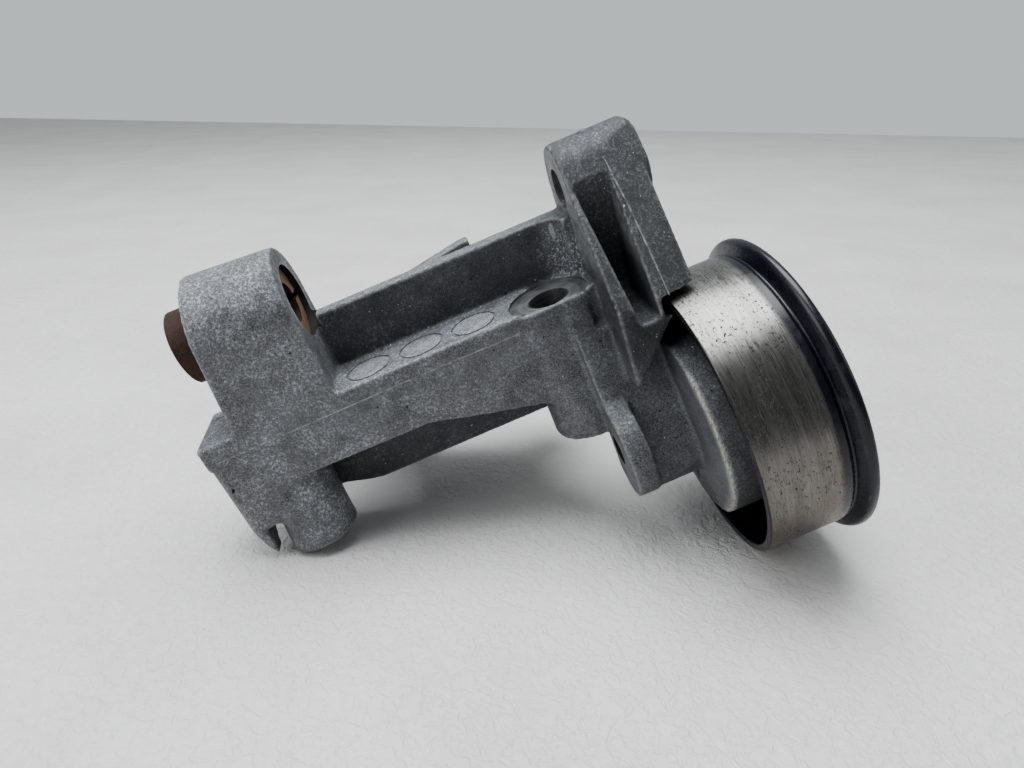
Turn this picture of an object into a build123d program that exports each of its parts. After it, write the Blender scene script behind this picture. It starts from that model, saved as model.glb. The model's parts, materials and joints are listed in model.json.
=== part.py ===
from build123d import *
import math
import os

os.makedirs("parts", exist_ok=True)

# Design axes: X along the pulley axis towards the flange, Y away from the front, Z away from the engine.
# The origin lies on the pulley axis; the pulley's open rim is at PULLEY_X.

# pulley, pressed from 2 mm steel
PULLEY_X = -2.1
BELT_R = 37.0
WALL = 2.0
BELT_END = 20.2
FLANGE_R = 39.8
FACE_X = 25.4
HUB_R = 22.0
SEAT_R = 20.0
HUB_START = 10.0
LIP_R = 18.4
SNAP_GROOVE_R = 20.7
SNAP_X0 = 22.7
SNAP_X1 = 23.9

# bearing 17 x 40 x 12 mm
BRG_X0 = 10.7
BRG_W = 12.0
BRG_MID = BRG_X0 + BRG_W / 2
BRG_BORE_R = 8.5
INNER_OUT_R = 11.6
OUTER_IN_R = 17.0
BALL_R = 3.375
PITCH_R = 14.25
BALLS = 8
RACE_R = 3.42
CAGE_T = 0.8
CAGE_IN_R = 12.9
CAGE_OUT_R = 15.6
RIVET_R = 0.55
SEAL_T = 0.8
SEAL_INSET = 0.5
RUN = 0.05

# bolt, spacer and covers
BOLT_R = 4.0
BOLT_END = -16.5
HEAD_X0 = 24.7
HEAD_T = 7.0
HEAD_AF = 13.0
HEAD_FLANGE_R = 9.0
SPACER_R = 12.0
SHIELD_R = 24.0
SHIELD_T = 0.8
SHIELD_X0 = 8.5
CAP_T = 0.8
CAP_TOP = 35.0

# casting, shared levels
ENGINE_Z = 4.0
LEDGE_Z = 42.5
LEDGE_T = 5.0
FRONT_Y = 8.0
WALL_Y = 24.5
WALL_T = 5.5
WALL_TOP = 58.0
WALL_BOTTOM = 6.5
LEFT_X = -121.5
END_X1 = -117.6
CORNER_R = 7.0
RIGHT_X = -13.0

# alternator boss and ear
ALT_Y = 22.0
ALT_Z = 64.0
BOSS_R = 14.2
BOSS_TAPER = 1.7
BOSS_X0 = -113.0
BOSS_X1 = -84.0
EAR_R = 11.0
EAR_X0 = -16.0
EAR_X1 = 7.0
EAR_HOLE_R = 5.2
PARTING_X = -1.6
INSERT_R = 7.0
THREAD_R = 5.0
INSERT_X0 = -4.0
INSERT_X1 = 8.0
BUSH_R = 9.5
BUSH_BORE_R = 5.25
BUSH_X0 = -114.2
BUSH_X1 = -85.6
BUSH_SLOT = 1.6
BUSH_CLEAR = 0.03

# front bolt block, feet and rear towers (all parallel to Z)
BLOCK_X = -26.0
BLOCK_Y = 14.0
BLOCK_R = 10.5
BLOCK_HOLE_R = 5.3
SPOT_R = 10.4
FOOT_X = -106.0
FOOT_Y = 15.0
FOOT_R = 9.4
REAR_FOOT_X = -106.0
REAR_FOOT_Y = 58.0
TOWERS = [(-80.0, 60.0), (-28.0, 60.0)]
TOWER_R = 10.0
TOWER_TOP = 47.0
TOWER_HOLE_R = 4.5
DOWEL_R = 6.5
DOWEL_SEAT_R = 6.75
DOWEL_BORE_R = 5.2
DOWEL_DEPTH = 7.0
DOWEL_OUT = 4.0

# arm
DISC_R = 25.3
DISC_X0 = -5.0
DISC_X1 = PULLEY_X + 8.5
LUG_R = 13.0
LUG_X0 = -24.0
LUG_X1 = -18.0
WEB_X1 = -2.0

# how the loose part lies on a bench: on the pulley's rim and its two left feet
REST_PITCH = math.atan((BELT_R + ENGINE_Z) / (PULLEY_X - (FOOT_X - FOOT_R)))


def x_cyl(radius, x0, x1, y=0.0, z=0.0):
    plane = Plane(origin=(x0, y, z), x_dir=(0, 1, 0), z_dir=(1, 0, 0))
    return extrude(plane * Circle(radius), amount=x1 - x0)


def z_cyl(radius, z0, z1, x, y):
    return extrude(Plane(origin=(x, y, z0)) * Circle(radius), amount=z1 - z0)


def block(x0, x1, y0, y1, z0, z1):
    return Pos((x0 + x1) / 2, (y0 + y1) / 2, (z0 + z1) / 2) * Box(x1 - x0, y1 - y0, z1 - z0)


def outline(points):
    """Flat polygon that always faces its plane's normal, whichever way its points run."""
    area = sum(a[0] * b[1] - b[0] * a[1] for a, b in zip(points, points[1:] + points[:1]))
    return Polygon(*(points if area > 0 else points[::-1]), align=None)


def yz_prism(points, x0, x1):
    plane = Plane(origin=(x0, 0, 0), x_dir=(0, 1, 0), z_dir=(1, 0, 0))
    return extrude(plane * outline(points), amount=x1 - x0)


def xz_prism(points, y0, y1):
    plane = Plane(origin=(0, y1, 0), x_dir=(1, 0, 0), z_dir=(0, -1, 0))
    return extrude(plane * outline(points), amount=y1 - y0)


def xy_prism(points, z0, z1):
    return extrude(Plane(origin=(0, 0, z0)) * outline(points), amount=z1 - z0)


def z_cone(r0, r1, z0, z1, x, y):
    return Pos(x, y, (z0 + z1) / 2) * Cone(r0, r1, z1 - z0)


def ring(r_in, r_out, x0, x1):
    return x_cyl(r_out, x0, x1) - x_cyl(r_in, x0 - 1, x1 + 1)


def turned(points):
    """Solid of revolution about X from (x, radius) points."""
    return revolve(Plane.XY * outline(points), axis=Axis.X)


def first(shape):
    return shape.solids()[0] if len(shape.solids()) == 1 else shape


# ---------------------------------------------------------------- casting

def boss_section(x, radius):
    """Arched outline that keeps its front flush with the skirt."""
    mid = FRONT_Y + radius
    back = mid + radius
    edges = [
        Line((FRONT_Y, 36), (FRONT_Y, ALT_Z)),
        ThreePointArc((FRONT_Y, ALT_Z), (mid, ALT_Z + radius), (back, ALT_Z)),
        Polyline((back, ALT_Z), (back, 42), (WALL_Y, 36), (FRONT_Y, 36)),
    ]
    plane = Plane(origin=(x, 0, 0), x_dir=(0, 1, 0), z_dir=(1, 0, 0))
    return plane * make_face(Curve() + edges)


def alternator_boss():
    """Arched boss, wider at its left end, whose left face is drafted outwards towards the foot."""
    boss = loft([boss_section(BOSS_X0, BOSS_R + BOSS_TAPER), boss_section(BOSS_X1, BOSS_R)])
    draft = xz_prism([(-130, 20), (-113.2, 20), (-111.2, 43), (-107.0, 80), (-130, 80)], 0, 50)
    return boss - draft


def channel():
    """Ledge with a front skirt, a mid wall that rises above it, and the left end."""
    ledge = block(LEFT_X, RIGHT_X, FRONT_Y, WALL_Y + 2, LEDGE_Z - LEDGE_T, LEDGE_Z)
    shelf = xz_prism([(LEFT_X, 37), (LEFT_X, 42.5), (-100, 42.5), (-100, 37)], FRONT_Y, WALL_Y + WALL_T)
    skirt = xz_prism(
        [(LEFT_X, LEDGE_Z), (RIGHT_X, LEDGE_Z), (RIGHT_X, 12), (-34, 15.5), (-38, 17.0), (-52, 20.5),
         (-66, 24.6), (-102.5, 24.8), (-107.1, 24), (-109.2, 17), (-111.4, 13.2), (-113.9, 14.8),
         (END_X1, 14.3), (END_X1, 6.4), (-118.2, 6.4), (LEFT_X, 14.2)],
        FRONT_Y, FRONT_Y + 5.5)
    mid = xz_prism(
        [(-84, WALL_TOP), (RIGHT_X, WALL_TOP), (RIGHT_X, WALL_BOTTOM), (-88, WALL_BOTTOM), (-100, 10),
         (LEFT_X, 20), (LEFT_X, LEDGE_Z - 1), (-84, LEDGE_Z - 1)],
        WALL_Y, WALL_Y + WALL_T)
    end = yz_prism(
        [(FRONT_Y, LEDGE_Z), (FRONT_Y, 6.4), (FRONT_Y + 3.5, 6.4), (FRONT_Y + 11, 13), (WALL_Y + WALL_T, 18),
         (WALL_Y + WALL_T, LEDGE_Z)],
        LEFT_X, END_X1)
    end -= xz_prism([(-130, 14.2), (LEFT_X, 14.2), (-118.2, 6.4), (-118.2, 0), (-130, 0)], 0, 40)
    body = ledge + shelf + skirt + mid + end
    # rounded front-left edge with a short groove beside it
    body -= xy_prism([(LEFT_X - 1, FRONT_Y - 1), (LEFT_X + 2.4, FRONT_Y - 1), (LEFT_X + 1.6, FRONT_Y + 0.4),
                      (LEFT_X + 0.4, FRONT_Y + 1.6), (LEFT_X - 1, FRONT_Y + 2.4)], 0, 35.5)
    body -= block(-119.4, -118.4, FRONT_Y - 1, FRONT_Y + 1.8, 22.5, 30)
    # inside corner between the mid wall and the ear
    corner = block(EAR_X0 - CORNER_R, EAR_X0 + 3, WALL_Y - CORNER_R, WALL_Y + 1, LEDGE_Z - 1, WALL_TOP)
    return body + (corner - z_cyl(CORNER_R, 0, 90, EAR_X0 - CORNER_R, WALL_Y - CORNER_R))


def feet():
    """Front-left foot, swelling out of the skirt, and the rear-left foot that stands level with it."""
    front = z_cyl(FOOT_R, ENGINE_Z, ENGINE_Z + 3, FOOT_X, FOOT_Y)
    low = Plane(origin=(FOOT_X, FOOT_Y, ENGINE_Z + 3)) * Circle(FOOT_R)
    high = Plane(origin=(FOOT_X + 0.6, FOOT_Y + 3.4, 26)) * Circle(FOOT_R - 0.6)
    front += loft([low, high])
    front += z_cyl(FOOT_R - 3.2, 25, LEDGE_Z - 2, FOOT_X, FOOT_Y + 2)
    front += z_cone(4.6, 3.2, ENGINE_Z + 0.6, 19, FOOT_X - 3.5, FOOT_Y - 4.0)
    front += block(FOOT_X, FOOT_X + 6, FOOT_Y, WALL_Y + 2, ENGINE_Z + 3, LEDGE_Z - 2)
    rear = z_cyl(FOOT_R, ENGINE_Z, 24, REAR_FOOT_X, REAR_FOOT_Y)
    return front + rear


def rear_frame():
    """Two bolt towers behind the mid wall, tied to it and to each other by ribs."""
    y0 = WALL_Y + WALL_T - 0.5
    y1 = TOWERS[0][1]
    body = None
    for x, y in TOWERS:
        tower = z_cyl(TOWER_R, ENGINE_Z, TOWER_TOP, x, y)
        rib = yz_prism(
            [(y0, 54), (y - TOWER_R, 47), (y, 46), (y, ENGINE_Z + 4), (y0, WALL_BOTTOM + 2)],
            x - 3, x + 3)
        body = tower + rib if body is None else body + tower + rib
    body += xz_prism(
        [(TOWERS[0][0], ENGINE_Z + 4), (TOWERS[0][0], 34), (-62, 49), (-40, 52.5), (TOWERS[1][0], 52),
         (TOWERS[1][0], ENGINE_Z + 4)], y1 - 2.5, y1 + 2.5)
    body += block(TOWERS[0][0] - 2, TOWERS[1][0] + 2, y0, y1, 24, 28)
    body += block(REAR_FOOT_X, TOWERS[0][0], y1 - 4.5, y1 + 0.5, ENGINE_Z + 3, 22)
    body += block(REAR_FOOT_X - 2.5, REAR_FOOT_X + 2.5, y0, REAR_FOOT_Y, ENGINE_Z + 5, 22)
    return body


def bolt_block():
    """Vertical boss for the front engine bolt, swelling out of the skirt towards the engine."""
    body = z_cyl(BLOCK_R, ENGINE_Z, LEDGE_Z - 1, BLOCK_X, BLOCK_Y)
    body -= yz_prism([(-10, 15), (BLOCK_Y - BLOCK_R, 15), (FRONT_Y, 38), (FRONT_Y, 50), (-10, 50)], -60, 20)
    body += block(BLOCK_X - 9, BLOCK_X + 9, BLOCK_Y, WALL_Y + 1, ENGINE_Z + 1, LEDGE_Z - 1)
    return body


def ear():
    """Second alternator lug: two plates round a front pocket, cut to a V at its foot."""
    foot_y = -6.8
    prism = yz_prism(
        [(foot_y, 16), (foot_y, 38.0), (ALT_Y - EAR_R * 0.86, ALT_Z + EAR_R * 0.51), (ALT_Y, ALT_Z),
         (ALT_Y + EAR_R, ALT_Z), (ALT_Y + EAR_R, 36), (WALL_Y + WALL_T, 12), (12, 12)],
        EAR_X0, EAR_X1)
    body = prism + x_cyl(EAR_R, EAR_X0, EAR_X1, ALT_Y, ALT_Z)
    body -= xz_prism([(-30, 10), (-15.8, 10), (-15.0, 26), (-12.6, 80), (-30, 80)], -20, 60)
    body -= xz_prism([(30, 10), (3.6, 10), (5.5, 38.5), (6.9, 80), (30, 80)], -20, 60)
    under = xz_prism(
        [(-16, 0), (-16, 18.5), (-14.5, 18.8), (-3.5, 31.5), (4.2, 38.5), (20, 38.5), (20, 0)],
        -20, 11)
    body -= under
    body += x_cyl(EAR_R - 1.0, 5.5, INSERT_X1, ALT_Y, ALT_Z)
    pocket = yz_prism(
        [(-20, 33.5), (11, 34.5), (13.5, 38), (13.5, 48), (12.4, 57), (10.4, 67), (-20, 67)],
        -14, 0)
    pocket &= xz_prism(
        [(-10.3, 30), (-10.3, 38), (-11.9, 66), (-12, 80), (-3, 80), (-3.2, 62), (-5, 38), (-5, 30)],
        -30, 30)
    # the front turns back a little on the right of the parting line; a nub of flash stands on top
    slope = math.degrees(math.atan((ALT_Y - EAR_R * 0.86 - foot_y) / (ALT_Z + EAR_R * 0.51 - 38)))
    facet = Pos(15, -10, 0) * Box(30, 20, 120)
    body -= Pos(PARTING_X, foot_y, 38) * Rot(-slope, 0, 0) * Rot(0, 0, 11) * facet
    top = ALT_Z + EAR_R
    body += block(PARTING_X - 2.6, PARTING_X - 0.8, ALT_Y - 2.4, ALT_Y - 0.4, top - 1, top + 0.7)
    return body - pocket


def arm():
    """Fixed arm: a flange with the bolt lug, a recessed web and the round seat inside the pulley."""
    flange = yz_prism(
        [(FRONT_Y, 40), (5.5, 32), (2, 24), (-0.5, 15), (-4, 12.2), (9, -9.2), (24, 12), (WALL_Y + 2, 33)],
        LUG_X0, LUG_X1)
    flange += x_cyl(LUG_R, LUG_X0, LUG_X1)
    web = yz_prism(
        [(5.5, 32), (2, 24), (-0.5, 15), (-4, 8), (-7.2, 0), (-7.6, -8), (-5.5, -11.8), (4, -11.8),
         (15, 0), (22, 14), (24, 32)], LUG_X1 - 0.5, WEB_X1)
    disc = x_cyl(DISC_R, DISC_X0, DISC_X1)
    disc -= ring(14.0, DISC_R - 4.0, DISC_X0 - 1, DISC_X1 - 4) & block(-40, 40, 3, 60, -60, 60)
    return flange + web + disc


def bracket_casting():
    body = channel() + alternator_boss() + feet() + rear_frame() + bolt_block() + ear() + arm()
    # hollow behind the ear, open towards the engine
    body -= block(-11, 0.5, 17, 31, 2, 32)
    # keep the running space of the pulley free
    body -= ring(BELT_R - WALL - 1.2, 60, PULLEY_X - 1.5, 60) & block(-4, 60, -60, 60, -60, BELT_R + 1.3)
    # alternator bush bore and bolt holes
    body -= x_cyl(BUSH_R + BUSH_CLEAR, -130, BOSS_X1 + 1, ALT_Y, ALT_Z)
    body -= x_cyl(EAR_HOLE_R, EAR_X0 - 1, INSERT_X0 + 1, ALT_Y, ALT_Z)
    body -= x_cyl(INSERT_R, INSERT_X0, 12, ALT_Y, ALT_Z)
    body -= z_cyl(BLOCK_HOLE_R, -10, 90, BLOCK_X, BLOCK_Y)
    body -= z_cyl(SPOT_R, LEDGE_Z - 1.0, LEDGE_Z + 8, BLOCK_X, BLOCK_Y)
    body -= z_cyl(BLOCK_HOLE_R + 1.2, -20, ENGINE_Z, BLOCK_X, BLOCK_Y)
    for x, y in TOWERS:
        body -= z_cyl(TOWER_HOLE_R, -10, 90, x, y)
        body -= z_cyl(DOWEL_SEAT_R, -10, ENGINE_Z + DOWEL_DEPTH, x, y)
        body -= z_cyl(TOWER_R + 0.3, TOWER_TOP, 70, x, y)
    body -= x_cyl(BOLT_R + 0.02, -40, 20)
    return first(body)


# ---------------------------------------------------------------- fitted parts of the bracket

def clamp_bush():
    body = x_cyl(BUSH_R, BUSH_X0, BUSH_X1, ALT_Y, ALT_Z)
    body -= x_cyl(BUSH_BORE_R, BUSH_X0 - 1, BUSH_X1 + 1, ALT_Y, ALT_Z)
    body -= block(BUSH_X0 - 1, BUSH_X1 + 1, ALT_Y, ALT_Y + 20, ALT_Z - BUSH_SLOT / 2, ALT_Z + BUSH_SLOT / 2)
    return first(body)


def ear_thread_insert():
    body = x_cyl(INSERT_R, INSERT_X0, INSERT_X1, ALT_Y, ALT_Z)
    return first(body - x_cyl(THREAD_R, INSERT_X0 - 1, INSERT_X1 + 1, ALT_Y, ALT_Z))


def dowel_sleeves():
    sleeves = []
    for x, y in TOWERS:
        sleeve = z_cyl(DOWEL_R, ENGINE_Z - DOWEL_OUT, ENGINE_Z, x, y)
        sleeve += z_cyl(DOWEL_SEAT_R, ENGINE_Z, ENGINE_Z + DOWEL_DEPTH, x, y)
        sleeves.append(first(sleeve - z_cyl(DOWEL_BORE_R, -10, 90, x, y)))
    return Compound(children=sleeves)


# ---------------------------------------------------------------- pulley and bearing

def pulley_shell():
    r = BELT_R
    return turned([
        (0.4, r), (BELT_END, r), (BELT_END + 0.5, r - 0.5), (BELT_END + 1.1, r - 0.5),
        (BELT_END + 2.4, FLANGE_R - 0.5), (BELT_END + 3.2, FLANGE_R), (BELT_END + 4.4, FLANGE_R),
        (FACE_X, FLANGE_R - 1.2), (FACE_X, SEAT_R), (SNAP_X1, SEAT_R), (SNAP_X1, SNAP_GROOVE_R),
        (SNAP_X0, SNAP_GROOVE_R), (SNAP_X0, SEAT_R), (BRG_X0, SEAT_R), (BRG_X0, LIP_R),
        (HUB_START, LIP_R), (HUB_START, HUB_R - 0.6), (HUB_START + 0.6, HUB_R), (FACE_X - WALL, HUB_R + 1),
        (FACE_X - WALL, r - 5.0), (FACE_X - 4.0, r - WALL), (0.4, r - WALL), (0.0, r - WALL + 0.4),
        (0.0, r - 0.4)])


def race(radius, x0, x1):
    """Torus of ball-track radius used to cut both rings."""
    plane = Plane(origin=(BRG_MID, 0, 0), x_dir=(0, 1, 0), z_dir=(1, 0, 0))
    return Location(plane) * Torus(PITCH_R, radius)


def bearing_outer_ring():
    x0 = BRG_X0
    x1 = BRG_X0 + BRG_W
    return first(ring(OUTER_IN_R, SEAT_R, x0, x1) - race(RACE_R, x0, x1))


def bearing_inner_ring():
    x0 = BRG_X0
    x1 = BRG_X0 + BRG_W
    return first(ring(BRG_BORE_R, INNER_OUT_R, x0, x1) - race(RACE_R, x0, x1))


def ball_places():
    for k in range(BALLS):
        a = 2 * math.pi * k / BALLS
        yield PITCH_R * math.cos(a), PITCH_R * math.sin(a)


def bearing_balls():
    return Compound(children=[Pos(BRG_MID, y, z) * Sphere(BALL_R) for y, z in ball_places()])


def rivet_places():
    for k in range(BALLS):
        a = 2 * math.pi * (k + 0.5) / BALLS
        yield PITCH_R * math.cos(a), PITCH_R * math.sin(a)


def cage_half(side):
    """Pressed ribbon on one side of the ball centres, bulging round each ball."""
    x0 = BRG_MID if side > 0 else BRG_MID - CAGE_T
    body = ring(CAGE_IN_R, CAGE_OUT_R, x0, x0 + CAGE_T)
    span = ring(CAGE_IN_R, CAGE_OUT_R, min(BRG_MID, BRG_MID + side * 5), max(BRG_MID, BRG_MID + side * 5))
    for y, z in ball_places():
        body += Pos(BRG_MID, y, z) * Sphere(BALL_R + RUN + CAGE_T) & span
    for y, z in ball_places():
        body -= Pos(BRG_MID, y, z) * Sphere(BALL_R + RUN)
    for y, z in rivet_places():
        body -= x_cyl(RIVET_R, BRG_MID - 3, BRG_MID + 3, y, z)
    return first(body)


def cage_rivets():
    rivets = []
    for y, z in rivet_places():
        pin = x_cyl(RIVET_R, BRG_MID - CAGE_T, BRG_MID + CAGE_T, y, z)
        pin += x_cyl(1.0, BRG_MID - CAGE_T - 0.4, BRG_MID - CAGE_T, y, z)
        pin += x_cyl(1.0, BRG_MID + CAGE_T, BRG_MID + CAGE_T + 0.4, y, z)
        rivets.append(first(pin))
    return Compound(children=rivets)


def seal(x0):
    return first(ring(INNER_OUT_R + RUN, OUTER_IN_R, x0, x0 + SEAL_T))


def bearing_snap_ring():
    body = ring(LIP_R, SNAP_GROOVE_R, SNAP_X0, SNAP_X1)
    return first(body - block(SNAP_X0 - 1, SNAP_X1 + 1, -4, 4, -30, -10))


def bearing_spacer():
    body = x_cyl(SPACER_R, SHIELD_X0 + SHIELD_T, BRG_X0)
    body += x_cyl(BRG_BORE_R, BRG_X0, BRG_X0 + BRG_W - 0.3)
    return first(body - x_cyl(BOLT_R + 0.02, 0, 40))


def rear_dust_shield():
    return first(ring(BOLT_R + 0.5, SHIELD_R, SHIELD_X0, SHIELD_X0 + SHIELD_T))


def bolt_washer():
    return first(ring(BOLT_R + 0.3, 10.8, BRG_X0 + BRG_W, HEAD_X0))


def pulley_bolt():
    plane = Plane(origin=(HEAD_X0 + 1.5, 0, 0), x_dir=(0, 1, 0), z_dir=(1, 0, 0))
    hexagon = plane * RegularPolygon(HEAD_AF / 2, 6, major_radius=False)
    body = x_cyl(BOLT_R, BOLT_END, HEAD_X0 + 1)
    body += x_cyl(HEAD_FLANGE_R, HEAD_X0, HEAD_X0 + 1.8)
    return first(body + extrude(hexagon, amount=HEAD_T - 1.5))


def front_dust_cap():
    x = FACE_X
    r = SEAT_R
    return turned([
        (SNAP_X1, r), (x, r), (x, r + 3), (x + CAP_T, r + 3), (x + CAP_T, r - 0.4), (CAP_TOP - 4, r - 2.5),
        (CAP_TOP, r - 6.5), (CAP_TOP, 0), (CAP_TOP - CAP_T, 0), (CAP_TOP - CAP_T, r - 6.9),
        (CAP_TOP - 4.4, r - 3.3), (x, r - 1.1), (SNAP_X1, r - 0.9)])


PARTS = {
    "bracket_casting": bracket_casting,
    "clamp_bush": clamp_bush,
    "ear_thread_insert": ear_thread_insert,
    "dowel_sleeves": dowel_sleeves,
    "pulley_shell": pulley_shell,
    "bearing_outer_ring": bearing_outer_ring,
    "bearing_inner_ring": bearing_inner_ring,
    "bearing_balls": bearing_balls,
    "bearing_cage_front": lambda: cage_half(1),
    "bearing_cage_rear": lambda: cage_half(-1),
    "cage_rivets": cage_rivets,
    "bearing_seal_front": lambda: seal(BRG_X0 + BRG_W - SEAL_INSET - SEAL_T),
    "bearing_seal_rear": lambda: seal(BRG_X0 + SEAL_INSET),
    "bearing_snap_ring": bearing_snap_ring,
    "bearing_spacer": bearing_spacer,
    "rear_dust_shield": rear_dust_shield,
    "pulley_bolt": pulley_bolt,
    "bolt_washer": bolt_washer,
    "front_dust_cap": front_dust_cap,
}

ON_PULLEY_AXIS = {
    "pulley_shell", "bearing_outer_ring", "bearing_inner_ring", "bearing_balls", "bearing_cage_front",
    "bearing_cage_rear", "cage_rivets", "bearing_seal_front", "bearing_seal_rear", "bearing_snap_ring",
    "bearing_spacer", "rear_dust_shield", "pulley_bolt", "bolt_washer", "front_dust_cap",
}
REST = Rot(0, -math.degrees(REST_PITCH), 0)


def in_place(name):
    """One piece in design axes; the turned pieces are drawn from the open rim and moved to it."""
    shape = PARTS[name]()
    return Pos(PULLEY_X, 0, 0) * shape if name in ON_PULLEY_AXIS else shape


def main():
    shapes = {name: in_place(name) for name in PARTS}
    turned_shapes = {name: REST * shape for name, shape in shapes.items()}
    boxes = [shape.bounding_box() for shape in turned_shapes.values()]
    low = [min(getattr(b.min, k) for b in boxes) for k in "XYZ"]
    high = [max(getattr(b.max, k) for b in boxes) for k in "XYZ"]
    shift = Pos(-(low[0] + high[0]) / 2, -(low[1] + high[1]) / 2, -low[2])
    for name, shape in turned_shapes.items():
        export_step(shift * shape, f"parts/{name}.step")


main()
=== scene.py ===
import json
import math
import random

import bmesh
import bpy
from mathutils import Matrix, Vector


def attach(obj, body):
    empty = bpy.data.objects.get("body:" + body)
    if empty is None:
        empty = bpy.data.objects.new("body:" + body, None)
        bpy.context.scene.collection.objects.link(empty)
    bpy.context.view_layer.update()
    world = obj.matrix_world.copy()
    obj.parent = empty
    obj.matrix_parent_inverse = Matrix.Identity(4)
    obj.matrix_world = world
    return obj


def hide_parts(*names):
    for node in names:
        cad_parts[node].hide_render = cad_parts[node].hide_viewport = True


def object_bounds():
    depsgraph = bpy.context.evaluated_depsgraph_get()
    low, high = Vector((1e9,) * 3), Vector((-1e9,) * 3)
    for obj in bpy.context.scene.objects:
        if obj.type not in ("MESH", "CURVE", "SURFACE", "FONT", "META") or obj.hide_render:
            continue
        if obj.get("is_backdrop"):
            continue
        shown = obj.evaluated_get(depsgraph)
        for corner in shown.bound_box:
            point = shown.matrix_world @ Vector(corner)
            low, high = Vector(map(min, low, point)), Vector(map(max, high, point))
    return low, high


MM = 0.001
EJECTOR_X = (-75.0, -60.5, -46.0)   # mm, the ejector marks along the ledge
EJECTOR_Y = 15.6
EJECTOR_Z = 42.2                    # mm, just under the ledge's face
EJECTOR_GROOVE = (5.5, 6.1)         # mm, radii of the ring each pin left

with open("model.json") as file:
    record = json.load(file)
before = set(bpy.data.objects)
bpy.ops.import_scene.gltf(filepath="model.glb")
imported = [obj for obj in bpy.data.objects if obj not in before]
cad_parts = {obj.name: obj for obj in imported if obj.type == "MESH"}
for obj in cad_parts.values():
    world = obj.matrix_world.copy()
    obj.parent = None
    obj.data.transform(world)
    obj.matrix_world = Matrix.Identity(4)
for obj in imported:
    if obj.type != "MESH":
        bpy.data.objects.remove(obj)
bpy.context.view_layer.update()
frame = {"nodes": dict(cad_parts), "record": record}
record = frame["record"]
nodes = frame["nodes"]
mounts = {m["name"]: m for m in record["mounts"]}


# ------------------------------------------------------------------ design axes
# X runs along the pulley axis towards the flange, Y away from the front skirt, Z away from the engine.

BELT_MOUNT_X = 7.9          # mm, the belt track mount's place along the pulley axis
RIM_X = -2.1                # mm, the pulley's open rim

AXIS_X = Vector(mounts["belt_track"]["axis"]).normalized()
AXIS_Z = Vector(mounts["front_engine_bolt_hole"]["axis"]).normalized()
AXIS_Y = AXIS_Z.cross(AXIS_X)
ORIGIN = Vector(mounts["belt_track"]["pos_m"]) - AXIS_X * BELT_MOUNT_X * MM
DESIGN = Matrix((
    (*[v[0] for v in (AXIS_X, AXIS_Y, AXIS_Z)], ORIGIN[0]),
    (*[v[1] for v in (AXIS_X, AXIS_Y, AXIS_Z)], ORIGIN[1]),
    (*[v[2] for v in (AXIS_X, AXIS_Y, AXIS_Z)], ORIGIN[2]),
    (0, 0, 0, 1)))
TO_DESIGN = DESIGN.inverted()


def at(x, y, z):
    """Row-frame point of a place given in design millimetres."""
    return DESIGN @ Vector((x * MM, y * MM, z * MM))


def place_of(mount):
    """Design millimetres of a mount's position."""
    return (TO_DESIGN @ Vector(mounts[mount]["pos_m"])) / MM


# ------------------------------------------------------------------ node material helpers

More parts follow.
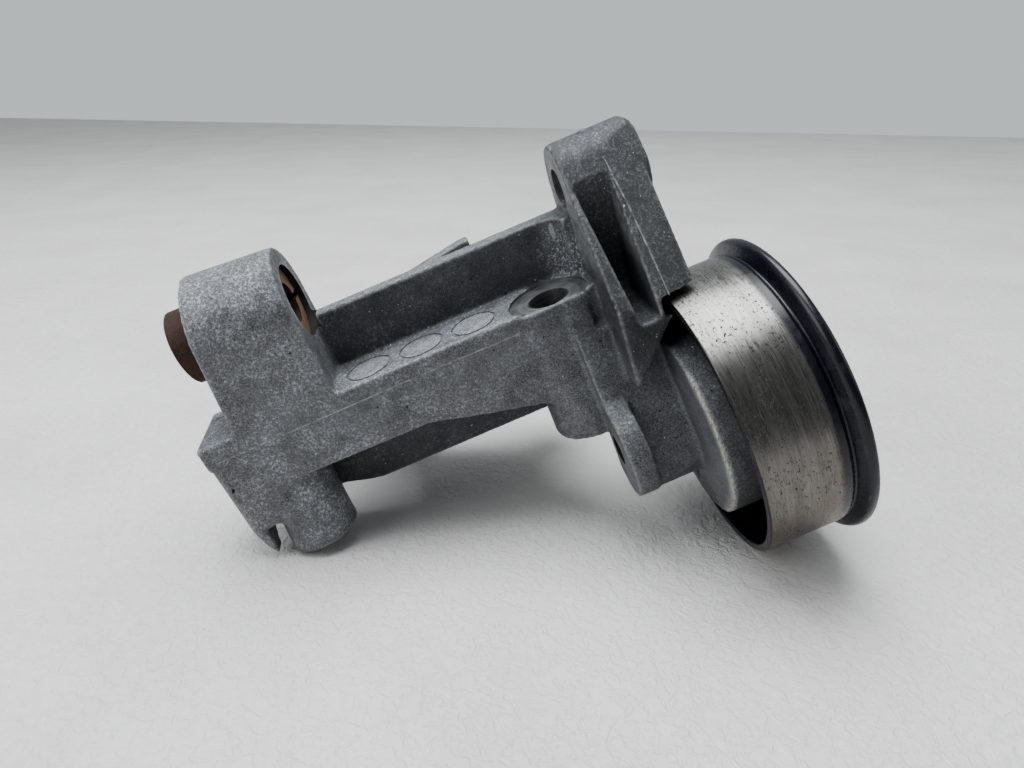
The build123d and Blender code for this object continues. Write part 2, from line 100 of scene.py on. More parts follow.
class Nodes:
    """Thin wrapper that keeps material recipes short."""

    def __init__(self, name):
        self.material = bpy.data.materials.new(name)
        self.material.use_nodes = True
        self.tree = self.material.node_tree
        self.bsdf = self.tree.nodes["Principled BSDF"]
        self.bsdf.inputs["Specular IOR Level"].default_value = 0.5
        self.space = self.add("ShaderNodeTexCoord").outputs["Object"]

    def add(self, kind, **settings):
        node = self.tree.nodes.new(kind)
        for key, value in settings.items():
            setattr(node, key, value)
        return node

    def link(self, a, b):
        self.tree.links.new(a, b)

    def feed(self, socket, value):
        if isinstance(value, bpy.types.NodeSocket):
            self.link(value, socket)
        else:
            socket.default_value = value

    def mapped(self, scale=(1, 1, 1), vector=None):
        node = self.add("ShaderNodeMapping")
        node.inputs["Scale"].default_value = scale
        self.link(vector or self.space, node.inputs["Vector"])
        return node.outputs["Vector"]

    def noise(self, size_mm, detail=4.0, rough=0.55, vector=None, distortion=0.0, offset=0.0):
        node = self.add("ShaderNodeTexNoise")
        node.noise_dimensions = "4D" if offset else "3D"
        node.inputs["Scale"].default_value = 1.0 / (size_mm * MM)
        node.inputs["Detail"].default_value = detail
        node.inputs["Roughness"].default_value = rough
        node.inputs["Distortion"].default_value = distortion
        if offset:
            node.inputs["W"].default_value = offset
        self.link(vector or self.space, node.inputs["Vector"])
        return node.outputs["Fac"]

    def span(self, value, low, high, to_low=0.0, to_high=1.0):
        node = self.add("ShaderNodeMapRange")
        node.clamp = True
        self.feed(node.inputs["Value"], value)
        node.inputs["From Min"].default_value = low
        node.inputs["From Max"].default_value = high
        node.inputs["To Min"].default_value = to_low
        node.inputs["To Max"].default_value = to_high
        return node.outputs["Result"]

    def math(self, operation, a, b=0.0):
        node = self.add("ShaderNodeMath", operation=operation)
        self.feed(node.inputs[0], a)
        self.feed(node.inputs[1], b)
        return node.outputs[0]

    def mix(self, factor, a, b):
        node = self.add("ShaderNodeMix", data_type="RGBA")
        self.feed(node.inputs[0], factor)
        self.feed(node.inputs[6], a)
        self.feed(node.inputs[7], b)
        return node.outputs[2]

    def bump(self, height, strength, depth_mm, normal=None):
        node = self.add("ShaderNodeBump")
        node.inputs["Strength"].default_value = strength
        node.inputs["Distance"].default_value = depth_mm * MM
        self.link(height, node.inputs["Height"])
        if normal:
            self.link(normal, node.inputs["Normal"])
        return node.outputs["Normal"]

    def design_axes(self):
        """Object coordinates turned into design axes, still in metres."""
        node = self.add("ShaderNodeMapping", vector_type="POINT")
        turn = TO_DESIGN.to_euler("XYZ")
        node.inputs["Rotation"].default_value = turn
        node.inputs["Location"].default_value = TO_DESIGN.translation
        self.link(self.space, node.inputs["Vector"])
        return node.outputs["Vector"]

    def dot(self, vector, constant):
        node = self.add("ShaderNodeVectorMath", operation="DOT_PRODUCT")
        self.link(vector, node.inputs[0])
        node.inputs[1].default_value = constant
        return node.outputs["Value"]

    def near(self, vector, point_mm, inner_mm, outer_mm):
        """1 within inner_mm of a design-frame point, falling to 0 at outer_mm."""
        node = self.add("ShaderNodeVectorMath", operation="DISTANCE")
        self.link(vector, node.inputs[0])
        node.inputs[1].default_value = [v * MM for v in point_mm]
        return self.span(node.outputs["Value"], outer_mm * MM, inner_mm * MM)

    def parts_of(self, vector):
        node = self.add("ShaderNodeSeparateXYZ")
        self.link(vector, node.inputs[0])
        return node.outputs

    def finish(self, color, rough, metallic, normal=None):
        self.feed(self.bsdf.inputs["Base Color"], color)
        self.feed(self.bsdf.inputs["Roughness"], rough)
        self.feed(self.bsdf.inputs["Metallic"], metallic)
        if normal:
            self.link(normal, self.bsdf.inputs["Normal"])
        return self.material


def rgb(r, g, b):
    return (r, g, b, 1.0)


# ------------------------------------------------------------------ materials

def cast_skin():
    """Die-cast aluminium: grey skin, pale crystalline oxide in flecks and on edges, dark grain, painted light
    on upward faces and painted shade on the ear and the wall.
    """
    m = Nodes("cast_aluminium")
    axes = m.design_axes()
    x, y, z = m.parts_of(axes)
    geometry = m.add("ShaderNodeNewGeometry")
    up = m.parts_of(geometry.outputs["Normal"])[2]
    leftward = m.dot(geometry.outputs["Normal"], -AXIS_X)
    broad = m.noise(24, 3.0, 0.6)
    patch = m.noise(7, 6.0, 0.68, offset=3.0)
    crystal = m.noise(0.7, 8.0, 0.82, offset=5.0)
    grain = m.noise(0.3, 3.0, 0.7, offset=8.0)
    skin = m.mix(m.span(broad, 0.35, 0.65), rgb(0.075, 0.078, 0.084), rgb(0.115, 0.119, 0.126))
    skin = m.mix(m.span(patch, 0.4, 0.62), skin, rgb(0.135, 0.14, 0.15))
    skin = m.mix(m.span(grain, 0.5, 0.64), skin, rgb(0.23, 0.236, 0.245))
    skin = m.mix(m.span(grain, 0.46, 0.34), skin, rgb(0.022, 0.023, 0.026))
    # how much pale oxide a place carries: more at the boss end, less on the arm and ear; the extra on upward
    # faces is painted light, which makes the tops lighter
    end = m.span(x, -0.07, -0.015, 1.0, 0.3)
    wall = m.math("MULTIPLY", m.span(y, 0.0238, 0.0242), m.span(y, 0.0254, 0.025))
    # painted shade: the wall behind the ledge keeps only about a third of the pale oxide
    wall_shade_keep = m.math("SUBTRACT", 1.0, m.math("MULTIPLY", wall, 0.65))
    oxide_and_light = m.math("ADD", m.span(patch, 0.34, 0.62), m.span(up, 0.2, 0.9, -0.05, 0.5))
    oxide_and_light = m.math("MULTIPLY", m.math("MULTIPLY", oxide_and_light, end), wall_shade_keep)
    oxide_and_light = m.math("ADD", oxide_and_light, m.math("MULTIPLY", m.near(axes, (-17.0, 19.5, 48.0), 3.0, 10.0), 0.9))
    crust = m.near(axes, (EJECTOR_X[0], EJECTOR_Y, EJECTOR_Z), 5.2, 5.6)
    for place in EJECTOR_X[1:]:
        crust = m.math("MAXIMUM", crust, m.near(axes, (place, EJECTOR_Y, EJECTOR_Z), 5.2, 5.6))
    oxide_and_light = m.math("MINIMUM", m.math("ADD", oxide_and_light, m.math("MULTIPLY", crust, 0.8)), 1.0)
    # painted shade: the ear and the wall behind the ledge are darkened
    wall_and_ear_shade = m.math("MULTIPLY", m.span(x, -0.032, -0.014), m.span(z, 0.014, 0.03))
    wall_and_ear_shade = m.math("MAXIMUM", wall_and_ear_shade, m.math("MULTIPLY", wall, 0.8))
    skin = m.mix(m.math("MULTIPLY", wall_and_ear_shade, 0.78), skin, rgb(0.03, 0.031, 0.034))
    # the flecks and the haze follow this amount, so they carry the painted light on the tops and the painted
    # shade on the wall too
    flecks = m.math("MULTIPLY", m.span(crystal, 0.505, 0.565), oxide_and_light)
    haze_and_light = m.math("MULTIPLY", oxide_and_light, 0.16)
    color = m.mix(haze_and_light, skin, rgb(0.25, 0.265, 0.285))
    color = m.mix(m.math("MULTIPLY", flecks, 0.85), color, rgb(0.52, 0.54, 0.58))
    # the ear's flank has been rubbed by the alternator's lug
    flank = m.math("MULTIPLY", m.span(leftward, 0.93, 0.98), m.span(z, 0.044, 0.05))
    flank = m.math("MULTIPLY", flank, m.span(x, -0.03, -0.02))
    rubs = m.noise(0.8, 5.0, 0.7, vector=m.mapped((1.0, 0.3, 0.3)), offset=61.0)
    color = m.mix(m.math("MULTIPLY", flank, m.span(rubs, 0.35, 0.6, 0.1, 0.7)), color, rgb(0.33, 0.335, 0.34))
    # handling wear and salt along edges, grey bloom in hollows
    point = geometry.outputs["Pointiness"]
    ragged = m.span(m.noise(1.6, 6.0, 0.75, offset=17.0), 0.4, 0.58, 0.1, 1.0)
    edge = m.math("MULTIPLY", m.span(point, 0.517, 0.56, 0.0, 0.75), ragged)
    color = m.mix(edge, color, rgb(0.42, 0.43, 0.44))
    color = m.mix(m.span(point, 0.485, 0.44, 0.0, 0.5), color, rgb(0.18, 0.19, 0.205))
    stain = m.span(m.noise(11, 5.0, 0.65, offset=13.0), 0.55, 0.72, 0.0, 0.45)
    color = m.mix(stain, color, rgb(0.055, 0.056, 0.06))
    # sparse salt specks and pin holes
    color = m.mix(m.span(m.noise(0.8, 2.0, 0.6, offset=41.0), 0.70, 0.73), color, rgb(0.66, 0.67, 0.68))
    hole = m.span(m.noise(1.3, 1.0, 0.5, offset=21.0), 0.75, 0.78)
    color = m.mix(hole, color, rgb(0.02, 0.02, 0.02))
    # the seat's front edge has been scraped bright
    radius = m.math("SQRT", m.math("ADD", m.math("MULTIPLY", y, y), m.math("MULTIPLY", z, z)))
    scrape = m.math("MULTIPLY", m.span(radius, 0.0222, 0.0245), m.span(y, -0.012, -0.015))
    rim = m.math("MULTIPLY", m.span(x, -0.0034, -0.0044), m.span(x, -0.0064, -0.0057))
    scrape = m.math("MULTIPLY", scrape, rim)
    lines = m.noise(0.6, 5.0, 0.75, vector=m.mapped((1.0, 2.5, 0.3)), offset=51.0)
    scrape = m.math("MULTIPLY", scrape, m.span(lines, 0.42, 0.55))
    color = m.mix(m.math("MULTIPLY", scrape, 0.85), color, rgb(0.5, 0.48, 0.43))
    rough = m.span(crystal, 0.35, 0.65, 0.4, 0.7)
    relief = m.bump(grain, 0.75, 0.13)
    relief = m.bump(m.math("MULTIPLY", crystal, m.math("ADD", oxide_and_light, 0.4)), 0.6, 0.3, relief)
    relief = m.bump(patch, 0.3, 0.35, relief)
    relief = m.bump(m.math("MULTIPLY", hole, -1.0), 0.6, 0.3, relief)
    return m.finish(color, rough, 0.35, relief)


def machined():
    """Milled and drilled aluminium: fine tool lines, dull spots, bright rubbed patches."""
    m = Nodes("machined_aluminium")
    hole = place_of("front_engine_bolt_hole") * MM
    x, y, z = m.parts_of(m.design_axes())
    dx = m.math("SUBTRACT", x, hole.x)
    dy = m.math("SUBTRACT", y, hole.y)
    around = m.add("ShaderNodeCombineXYZ")
    squares = m.math("ADD", m.math("MULTIPLY", dx, dx), m.math("MULTIPLY", dy, dy))
    m.link(m.math("SQRT", squares), around.inputs[0])
    m.link(m.math("MULTIPLY", z, 0.2), around.inputs[1])
    lines = m.noise(0.5, 4.0, 0.7, vector=around.outputs[0])
    cloud = m.noise(3.5, 5.0, 0.65, offset=3.0)
    color = m.mix(m.span(cloud, 0.38, 0.66), rgb(0.13, 0.132, 0.136), rgb(0.3, 0.305, 0.31))
    color = m.mix(m.span(lines, 0.45, 0.7, 0.0, 0.6), color, rgb(0.4, 0.4, 0.4))
    rough = m.span(lines, 0.3, 0.7, 0.28, 0.5)
    return m.finish(color, rough, 0.75, m.bump(lines, 0.3, 0.06))


def painted_bore_shade():
    """Deep threaded hole: near-black painted shade, lightly mottled."""
    m = Nodes("painted_bore_shade")
    mottle = m.noise(1.2, 5.0, 0.65)
    color = m.mix(m.span(mottle, 0.35, 0.7), rgb(0.006, 0.006, 0.006), rgb(0.03, 0.028, 0.026))
    return m.finish(color, m.span(mottle, 0.3, 0.7, 0.55, 0.8), 0.1, m.bump(mottle, 0.3, 0.1))


def rusted():
    m = Nodes("rusted_steel")
    crust = m.noise(1.8, 7.0, 0.68)
    fine = m.noise(0.35, 4.0, 0.65, offset=4.0)
    color = m.mix(m.span(crust, 0.36, 0.62), rgb(0.022, 0.012, 0.010), rgb(0.072, 0.030, 0.020))
    color = m.mix(m.span(fine, 0.55, 0.75, 0.0, 0.6), color, rgb(0.13, 0.055, 0.034))
    inward = m.dot(m.add("ShaderNodeNewGeometry").outputs["Normal"], AXIS_X)
    color = m.mix(m.math("MULTIPLY", m.span(inward, 0.8, 0.95), m.span(crust, 0.3, 0.6, 0.45, 0.9)), color,
                  rgb(0.27, 0.17, 0.115))
    rough = m.span(crust, 0.3, 0.7, 0.6, 0.85)
    return m.finish(color, rough, 0.15, m.bump(fine, 0.5, 0.12, m.bump(crust, 0.5, 0.3)))


def plain_steel(name="plain_steel", tone=0.35, rough=0.35):
    m = Nodes(name)
    line = m.noise(0.5, 3.0, 0.6, vector=m.mapped((8, 1, 8)))
    cloud = m.noise(4, 4.0, 0.6)
    dull = rgb(tone * 0.7, tone * 0.68, tone * 0.66)
    color = m.mix(m.span(cloud, 0.3, 0.7), dull, rgb(tone, tone, tone * 0.98))
    return m.finish(color, m.span(line, 0.3, 0.7, rough * 0.8, rough * 1.3), 0.9, m.bump(line, 0.2, 0.03))


def pulley_skin():
    """Belt track rubbed bare, brushed and pitted, with a painted floor reflection on its lower part; black
    paint on everything the belt doesn't touch.
    """
    m = Nodes("pulley_steel")
    x, y, z = m.parts_of(m.design_axes())
    radius = m.math("SQRT", m.math("ADD", m.math("MULTIPLY", y, y), m.math("MULTIPLY", z, z)))
    along = m.math("MULTIPLY", m.math("SUBTRACT", x, RIM_X * MM), 1000.0)
    angle = m.math("ARCTAN2", z, y)
    ring = m.add("ShaderNodeCombineXYZ")
    m.link(m.math("MULTIPLY", along, 0.001), ring.inputs[0])
    m.link(m.math("MULTIPLY", angle, 0.0011), ring.inputs[1])
    m.link(radius, ring.inputs[2])
    brushed = m.noise(0.16, 4.0, 0.65, vector=ring.outputs[0])
    bands = m.noise(2.6, 3.0, 0.6, vector=ring.outputs[0], offset=3.0)
    wander = m.math("MULTIPLY", m.math("SUBTRACT", m.noise(1.6, 5.0, 0.7), 0.5), 0.8)
    fade = m.math("ADD", along, wander)
    bare = m.math("MULTIPLY", m.span(fade, 17.2, 18.6, 1.0, 0.0), m.span(radius, 0.0362, 0.0366))
    cloud = m.noise(8.0, 5.0, 0.62, offset=6.0)
    pit_field = m.span(cloud, 0.35, 0.65, 0.035, -0.02)
    speck = m.math("ADD", m.noise(0.55, 3.0, 0.8, offset=2.0), pit_field)
    pit = m.span(speck, 0.595, 0.635)
    steel = m.mix(m.span(brushed, 0.3, 0.72), rgb(0.13, 0.125, 0.12), rgb(0.315, 0.308, 0.298))
    steel = m.mix(m.span(bands, 0.4, 0.65, 0.0, 0.45), steel, rgb(0.115, 0.108, 0.1))
    # painted reflection of the floor: the lower part of the belt track is tinted brown
    low = m.span(z, 0.012, -0.02, 0.0, 0.75)
    floor_reflection = m.math("MULTIPLY", low, m.span(cloud, 0.3, 0.6, 0.55, 1.0))
    steel = m.mix(floor_reflection, steel, rgb(0.135, 0.108, 0.078))
    steel = m.mix(m.math("MULTIPLY", pit, 0.9), steel, rgb(0.018, 0.015, 0.013))
    steel = m.mix(m.span(along, 0.45, 0.3, 0.0, 0.85), steel, rgb(0.03, 0.028, 0.026))
    dust = m.span(m.noise(3.5, 6.0, 0.68, offset=9.0), 0.5, 0.8)
    paint = m.mix(m.math("MULTIPLY", dust, 0.5), rgb(0.005, 0.006, 0.011), rgb(0.032, 0.034, 0.043))
    edge = m.span(m.add("ShaderNodeNewGeometry").outputs["Pointiness"], 0.51, 0.56, 0.0, 0.25)
    paint = m.mix(m.math("MULTIPLY", edge, m.span(brushed, 0.45, 0.6)), paint, rgb(0.12, 0.12, 0.125))
    color = m.mix(bare, paint, steel)
    steel_rough = m.math("ADD", m.span(brushed, 0.3, 0.7, 0.24, 0.36), m.math("MULTIPLY", pit, 0.3))
    paint_rough = m.span(dust, 0.0, 1.0, 0.27, 0.5)
    mixed = m.add("ShaderNodeMix", data_type="FLOAT")
    m.feed(mixed.inputs[0], bare)
    m.feed(mixed.inputs[2], paint_rough)
    m.feed(mixed.inputs[3], steel_rough)
    normal = m.bump(m.math("MULTIPLY", brushed, bare), 0.3, 0.03)
    normal = m.bump(m.math("MULTIPLY", m.math("MULTIPLY", pit, bare), -1.0), 0.7, 0.12, normal)
    normal = m.bump(m.noise(0.5, 4.0, 0.6, offset=12.0), 0.12, 0.05, normal)
    return m.finish(color, mixed.outputs[0], m.math("MULTIPLY", bare, 0.95), normal)


def black_paint():
    m = Nodes("black_paint")
    dust = m.noise(3.0, 5.0, 0.65)
    fine = m.noise(0.5, 3.0, 0.6, offset=2.0)
    film = m.math("MULTIPLY", m.span(dust, 0.5, 0.8), 0.5)
    color = m.mix(film, rgb(0.009, 0.01, 0.014), rgb(0.05, 0.05, 0.055))
    return m.finish(color, m.span(dust, 0.3, 0.7, 0.32, 0.5), 0.0, m.bump(fine, 0.15, 0.05))


def seal_rubber():
    m = Nodes("seal_rubber")
    fine = m.noise(0.4, 4.0, 0.6)
    color = m.mix(m.span(fine, 0.3, 0.7), rgb(0.012, 0.012, 0.012), rgb(0.028, 0.028, 0.028))
    return m.finish(color, m.span(fine, 0.3, 0.7, 0.6, 0.8), 0.0, m.bump(fine, 0.2, 0.05))


CAST = cast_skin()
MACHINED = machined()
BORE_SHADE = painted_bore_shade()
RUST = rusted()
STEEL = plain_steel()
BEARING = plain_steel("bearing_steel", 0.6, 0.16)
ZINC = plain_steel("zinc_steel", 0.42, 0.4)
PULLEY = pulley_skin()
BLACK = black_paint()
RUBBER = seal_rubber()

FINISH = {
    "clamp_bush": RUST, "ear_thread_insert": STEEL, "dowel_sleeves": STEEL,
    "bearing_outer_ring": BEARING, "bearing_inner_ring": BEARING, "bearing_balls": BEARING,
    "bearing_cage_front": STEEL, "bearing_cage_rear": STEEL, "cage_rivets": STEEL,
    "bearing_seal_front": RUBBER, "bearing_seal_rear": RUBBER, "bearing_snap_ring": BLACK,
    "bearing_spacer": BLACK, "rear_dust_shield": BLACK, "pulley_bolt": ZINC, "bolt_washer": ZINC,
    "front_dust_cap": BLACK, "bracket_casting": CAST, "pulley_shell": PULLEY,
}


def paint(obj, *materials):
    obj.data.materials.clear()
    for material in materials:
        obj.data.materials.append(material)


for name, obj in nodes.items():
    paint(obj, FINISH[name])


# ------------------------------------------------------------------ mesh helpers

def new_object(name, mesh):
    obj = bpy.data.objects.new(name, mesh)
    bpy.context.scene.collection.objects.link(obj)
    return obj


def apply_modifiers(obj):
    bpy.context.view_layer.update()
    graph = bpy.context.evaluated_depsgraph_get()
    mesh = bpy.data.meshes.new_from_object(obj.evaluated_get(graph))
    old = obj.data
    obj.modifiers.clear()
    obj.data = mesh
    bpy.data.meshes.remove(old)
    return obj


def cylinder(radius, x0, x1, axis="X", y=0.0, z=0.0, segments=96):
    """Closed cylinder in design millimetres, from x0 to x1 along axis X or Z.

    Its axis passes through (y, z). For axis Z these two stand for the design X and Y.
    """
    mesh = bpy.data.meshes.new("cutter")
    bm = bmesh.new()
    bmesh.ops.create_cone(bm, cap_ends=True, segments=segments, radius1=radius * MM, radius2=radius * MM,
                          depth=(x1 - x0) * MM)
    mid = (x0 + x1) / 2 * MM
    if axis == "X":
        turn = Matrix.Translation((mid, y * MM, z * MM)) @ Matrix.Rotation(math.pi / 2, 4, "Y")
    else:
        turn = Matrix.Translation((y * MM, z * MM, mid))
    bm.transform(DESIGN @ turn)
    bm.to_mesh(mesh)
    bm.free()
    return mesh


def joined(name, meshes):
    """One object from several closed meshes in the row frame."""
    bm = bmesh.new()
    for mesh in meshes:
        bm.from_mesh(mesh)
    out = bpy.data.meshes.new(name)
    bm.to_mesh(out)
    bm.free()
    return new_object(name, out)


# ------------------------------------------------------------------ the casting

VOXEL = 0.55
LEDGE_Z = 42.5
ENGINE_Z = 4.0
TOWER_TOP = 47.0
BUSH_BORE_R = 9.53
EAR_HOLE_R = 5.2
INSERT_R = 7.02
SPOT_R = 10.4
SPOT_Z = LEDGE_Z - 1.0
BLOCK_HOLE_R = 5.3
TOWER_HOLE_R = 4.5
TOWER_SPOT_R = 10.3
DOWEL_SEAT_R = 6.76
LUG_HOLE_R = 4.03
BUSH_MOUTH_X = -84.6
ALT = place_of("alternator_thread")
BLOCK = place_of("front_engine_bolt_hole")
TOWERS = [place_of("rear_left_bolt_hole"), place_of("rear_right_bolt_hole")]

# every drilled or faced surface: axis, radius, start, end, and the place of its axis
DRILLED = [
    ("X", BUSH_BORE_R, -125.0, -82.5, ALT.y, ALT.z),
    ("X", EAR_HOLE_R, -20.0, -3.0, ALT.y, ALT.z),
    ("X", INSERT_R, -4.0, 12.0, ALT.y, ALT.z),
    ("X", LUG_HOLE_R, -30.0, 10.0, 0.0, 0.0),
    ("Z", BLOCK_HOLE_R, -1.0, 50.0, BLOCK.x, BLOCK.y),
    ("Z", SPOT_R, SPOT_Z, 52.0, BLOCK.x, BLOCK.y),
]
for t in TOWERS:
    DRILLED.append(("Z", TOWER_HOLE_R, 0.0, 60.0, t.x, t.y))
    DRILLED.append(("Z", TOWER_SPOT_R, TOWER_TOP, 60.0, t.x, t.y))
    DRILLED.append(("Z", DOWEL_SEAT_R, 0.0, ENGINE_Z + 7.0, t.x, t.y))


def raw_casting():
    """The casting as it leaves the die: the CAD solid with its bores plugged and its edges softened."""
    plugs = [
        cylinder(BUSH_BORE_R + 0.4, -109.0, -84.0, "X", ALT.y, ALT.z),
        cylinder(INSERT_R + 0.3, -13.0, 7.0, "X", ALT.y, ALT.z),
        cylinder(BLOCK_HOLE_R + 0.3, ENGINE_Z, SPOT_Z, "Z", BLOCK.x, BLOCK.y),
        cylinder(LUG_HOLE_R + 0.3, -23.9, 6.3, "X", 0.0, 0.0),
    ]
    for t in TOWERS:
        plugs.append(cylinder(DOWEL_SEAT_R + 0.3, ENGINE_Z, TOWER_TOP, "Z", t.x, t.y))
    obj = joined("raw_casting", [nodes["bracket_casting"].data] + plugs)
    remesh = obj.modifiers.new("voxels", "REMESH")
    remesh.mode = "VOXEL"
    remesh.voxel_size = VOXEL * MM
    remesh.use_smooth_shade = True
    soften = obj.modifiers.new("soften", "SMOOTH")
    soften.factor = 0.5
    soften.iterations = 9
    thin = obj.modifiers.new("thin", "DECIMATE")
    thin.ratio = 0.28
    apply_modifiers(obj)
    return obj


def drill(obj):
    """Bores and faces are cut last, so their edges stay crisp."""
    for axis, radius, start, end, a, b in DRILLED:
        combine(obj, cylinder(radius, start, end, axis, a, b), "DIFFERENCE")


def flash(points, size, seed):
    """Ragged ridge of flash along a line of design-frame points, half sunk in the surface."""
    random.seed(seed)
    line = [Vector(p) for p in points]
    spine = []
    for a, b in zip(line, line[1:]):
        count = max(1, int((b - a).length / 0.7))
        spine += [a.lerp(b, i / count) for i in range(count)]
    spine.append(line[-1])
    bm = bmesh.new()
    rows = []
    for k, p in enumerate(spine):
        step = spine[min(k + 1, len(spine) - 1)] - spine[max(k - 1, 0)]
        side = step.cross(Vector((0.31, 0.77, 0.55))).normalized()
        top = step.cross(side).normalized()
        r = size * (0.55 + 0.75 * random.random())
        rows.append([bm.verts.new(at(*(p + side * r * math.cos(a) + top * r * math.sin(a))))
                     for a in (i * math.pi / 3 for i in range(6))])
    for one, two in zip(rows, rows[1:]):
        for i in range(6):
            bm.faces.new((one[i], one[(i + 1) % 6], two[(i + 1) % 6], two[i]))
    bm.faces.new(rows[0])
    bm.faces.new(rows[-1])
    bmesh.ops.recalc_face_normals(bm, faces=bm.faces)
    mesh = bpy.data.meshes.new("flash")
    bm.to_mesh(mesh)
    bm.free()
    return mesh


def washer(r_in, r_out, z0, z1, x, y, segments=72):
    """Closed flat ring about a line parallel to Z."""
    bm = bmesh.new()
    rows = []
    for k in range(segments):
        a = 2 * math.pi * k / segments
        rows.append([bm.verts.new(at(x + r * math.cos(a), y + r * math.sin(a), z))
                     for r, z in ((r_in, z0), (r_out, z0), (r_out, z1), (r_in, z1))])
    for k in range(segments):
        one = rows[k]
        two = rows[(k + 1) % segments]
        for i in range(4):
            bm.faces.new((one[i], one[(i + 1) % 4], two[(i + 1) % 4], two[i]))
    bmesh.ops.recalc_face_normals(bm, faces=bm.faces)
    mesh = bpy.data.meshes.new("washer")
    bm.to_mesh(mesh)
    bm.free()
    return mesh


def combine(obj, mesh, operation):
    other = new_object("cutter", mesh)
    cut = obj.modifiers.new("cut", "BOOLEAN")
    cut.operation = operation
    cut.solver = "EXACT"
    cut.object = other
    apply_modifiers(obj)
    bpy.data.objects.remove(other)


def die_marks(obj):
    """Parting lines on the skirt and the ear, and the rings the ejector pins left on the ledge."""
    combine(obj, flash([(-118.5, 8.05, 37.6), (-60, 8.05, 38.2), (-37, 8.05, 38.0)], 0.2, 3), "UNION")
    ear = [(-2.4, 12.4, 69.2), (-1.7, 5.5, 58.1), (-1.6, -1.2, 47.2), (-1.6, -6.5, 38.4)]
    combine(obj, flash(ear, 0.22, 5), "UNION")
    for x in EJECTOR_X:
        groove = washer(*EJECTOR_GROOVE, LEDGE_Z - 0.3, LEDGE_Z + 1, x, EJECTOR_Y)
        combine(obj, groove, "DIFFERENCE")


def is_machined(p):
    """True for a design-frame point (mm) on a drilled wall or a faced seat."""
    for axis, radius, start, end, a, b in DRILLED:
        along = p.x if axis == "X" else p.z
        off = math.hypot(p.y - a, p.z - b) if axis == "X" else math.hypot(p.x - a, p.y - b)
        if start + 0.05 < along < end - 0.05 and abs(off - radius) < 0.07:
            return True
        if abs(along - start) < 0.03 and off < radius and axis == "Z":
            return True
    return False


def mark_machined(obj):
    mesh = obj.data
    for face in mesh.polygons:
        p = (TO_DESIGN @ face.center) / MM
        if is_machined(p):
            # the lug's threaded hole and the bush bore past its mouth get the near-black painted shade
            shaded_deep = math.hypot(p.y, p.z) < LUG_HOLE_R + 0.1 or p.x < BUSH_MOUTH_X
            face.material_index = 2 if shaded_deep else 1
            face.use_smooth = False


body = raw_casting()
die_marks(body)
drill(body)
body.name = "casting"
paint(body, CAST, MACHINED, BORE_SHADE)
mark_machined(body)
body.data.set_sharp_from_angle(angle=math.radians(40))
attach(body, "bracket")
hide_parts("bracket_casting")


# ------------------------------------------------------------------ the pulley

def rounded(corners, steps=6):
    """Closed profile of (x, radius) points with each corner replaced by a small arc."""
    out = []
    count = len(corners)
    for k, (x, r, size) in enumerate(corners):
        here = Vector((x, r))
        before = Vector(corners[k - 1][:2]) - here
        after = Vector(corners[(k + 1) % count][:2]) - here
        reach = min(size, before.length * 0.48, after.length * 0.48)
        a = here + before.normalized() * reach
        b = here + after.normalized() * reach
        for i in range(steps + 1):
            t = i / steps
            out.append(a * (1 - t) ** 2 + here * 2 * t * (1 - t) + b * t ** 2)
    return out


def lathe(name, profile, segments=256):
    """Closed ring about the pulley axis; x is counted from the open rim."""
    bm = bmesh.new()
    rows = []
    for k in range(segments):
        a = 2 * math.pi * k / segments
        rows.append([bm.verts.new(at(RIM_X + p.x, p.y * math.cos(a), p.y * math.sin(a))) for p in profile])
    for k in range(segments):
        one = rows[k]
        two = rows[(k + 1) % segments]
        for i in range(len(profile)):
            j = (i + 1) % len(profile)
            bm.faces.new((one[i], one[j], two[j], two[i]))
    bmesh.ops.recalc_face_normals(bm, faces=bm.faces)
    for face in bm.faces:
        face.smooth = True
    mesh = bpy.data.meshes.new(name)
    bm.to_mesh(mesh)
    bm.free()
    return new_object(name, mesh)


PULLEY_CORNERS = [
    (0.0, 35.0, 0.5), (0.0, 37.0, 0.7), (20.2, 37.0, 0.5), (20.75, 36.45, 0.3), (21.3, 36.5, 0.5),
    (22.6, 39.2, 0.6), (23.4, 39.8, 0.6), (24.6, 39.8, 0.9), (25.4, 38.6, 0.7), (25.4, 20.0, 0.2),
    (23.9, 20.0, 0.1), (23.9, 20.7, 0.1), (22.7, 20.7, 0.1), (22.7, 20.0, 0.1), (10.7, 20.0, 0.1),
    (10.7, 18.4, 0.1), (10.0, 18.4, 0.2), (10.0, 21.6, 0.4), (10.6, 22.0, 0.4), (23.4, 23.0, 1.4),
    (23.4, 32.0, 1.6), (21.4, 35.0, 1.4)]

pulley = lathe("pulley", rounded(PULLEY_CORNERS))
paint(pulley, PULLEY)
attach(pulley, "pulley")
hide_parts("pulley_shell")


# ------------------------------------------------------------------ floor, light, camera

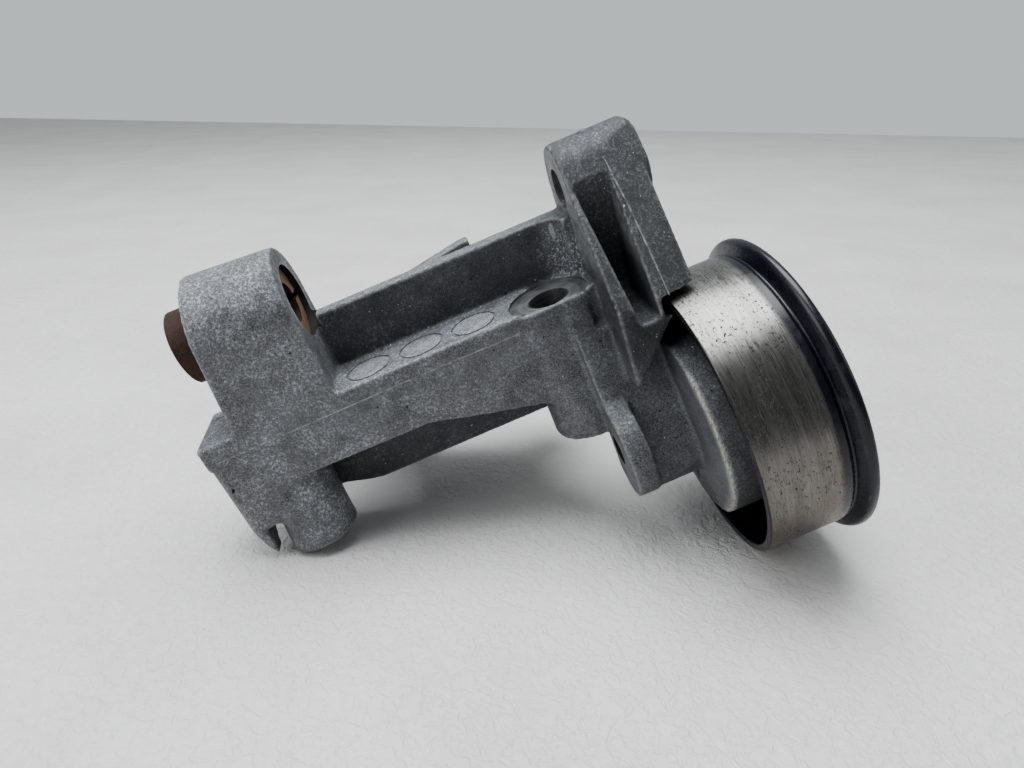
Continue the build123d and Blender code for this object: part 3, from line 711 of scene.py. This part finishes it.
def studio():
    lo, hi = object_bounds()
    bpy.ops.mesh.primitive_plane_add(size=FLOOR_SIZE, location=(0, 0, 0))
    floor = bpy.context.object
    floor.name = "floor"
    turn = math.radians(FLOOR_TURN)
    floor.rotation_euler = (0, 0, turn)
    inward = Vector((-math.sin(turn), math.cos(turn), 0))
    floor.location = Vector(FLOOR_FAR) - inward * (FLOOR_SIZE / 2)
    m = Nodes("floor")
    m.space = m.add("ShaderNodeNewGeometry").outputs["Position"]
    tone = m.mix(m.span(m.noise(70, 4.0, 0.6), 0.3, 0.7), rgb(0.67, 0.645, 0.635), rgb(0.77, 0.745, 0.735))
    hide = m.noise(2.9, 3.0, 0.6, distortion=0.9, offset=1.0)
    emboss = m.span(hide, 0.4, 0.56)
    speck = m.span(m.noise(2.2, 2.0, 0.5, offset=31.0), 0.79, 0.81)
    tone = m.mix(m.math("MULTIPLY", speck, 0.7), tone, rgb(0.12, 0.11, 0.1))
    paint(floor, m.finish(tone, m.span(hide, 0.3, 0.7, 0.34, 0.55), 0.0, m.bump(emboss, 0.5, 0.5)))
    floor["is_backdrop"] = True
    world = bpy.data.worlds.new("studio")
    world.use_nodes = True
    tree = world.node_tree
    space = tree.nodes.new("ShaderNodeTexCoord")
    split = tree.nodes.new("ShaderNodeSeparateXYZ")
    ramp = tree.nodes.new("ShaderNodeMapRange")
    ramp.inputs["From Min"].default_value = -0.7
    ramp.inputs["From Max"].default_value = 0.7
    ramp.inputs["To Min"].default_value = 0.16
    ramp.inputs["To Max"].default_value = 0.62
    tree.links.new(space.outputs["Generated"], split.inputs[0])
    tree.links.new(split.outputs[1], ramp.inputs["Value"])
    tree.nodes["Background"].inputs[0].default_value = rgb(0.78, 0.83, 0.84)
    tree.links.new(ramp.outputs["Result"], tree.nodes["Background"].inputs[1])
    bpy.context.scene.world = world
    centre = (lo + hi) / 2
    for name, offset, size, power in (
            ("sky", (-0.10, 0.12, 0.95), 0.75, 12.0),
            ("left", (-0.9, -0.25, 0.55), 0.7, 4.6),
            ("right", (0.8, -0.35, 0.5), 0.5, 1.2)):
        light = bpy.data.lights.new(name, "AREA")
        light.energy = power
        light.size = size
        light.color = (0.95, 0.98, 1.0)
        lamp = bpy.data.objects.new(name, light)
        lamp.location = centre + Vector(offset)
        lamp.rotation_euler = (-Vector(offset)).to_track_quat("-Z", "Y").to_euler()
        bpy.context.scene.collection.objects.link(lamp)
    bpy.context.scene.view_settings.view_transform = "AgX"
    bpy.context.scene.view_settings.look = "AgX - Medium High Contrast"
    bpy.context.scene.view_settings.exposure = 0.08


FLOOR_TURN = -33.0          # degrees, the slope of its far edge
FLOOR_SIZE = 9.0            # m
FLOOR_FAR = (0.2, 1.28, 0)  # m, the middle of the floor's far edge
LENS = 25.3
TURN = 23.0                 # degrees, how far the pulley axis climbs in the picture
DIP = 26.0                  # degrees, how far the camera looks down across the part
AWAY = 188.7                # mm from the pulley's axis
SIDEWAYS = -50.4            # mm along the picture's width
UPWARDS = 8.83              # mm along the picture's height


def camera():
    turn = math.radians(TURN)
    dip = math.radians(DIP)
    back = -AXIS_Y * math.cos(dip) + AXIS_Z * math.sin(dip)
    level = AXIS_Y * math.sin(dip) + AXIS_Z * math.cos(dip)
    right = AXIS_X * math.cos(turn) - level * math.sin(turn)
    up = AXIS_X * math.sin(turn) + level * math.cos(turn)
    data = bpy.data.cameras.new("camera")
    data.lens = LENS
    data.sensor_width = 36
    data.clip_start = 0.01
    data.clip_end = 20
    cam = bpy.data.objects.new("camera", data)
    cam.location = ORIGIN + (AWAY * back + SIDEWAYS * right + UPWARDS * up - AXIS_Z) * MM
    cam.rotation_euler = Matrix((right, up, back)).transposed().to_euler()
    bpy.context.scene.collection.objects.link(cam)
    bpy.context.scene.camera = cam


studio()
camera()
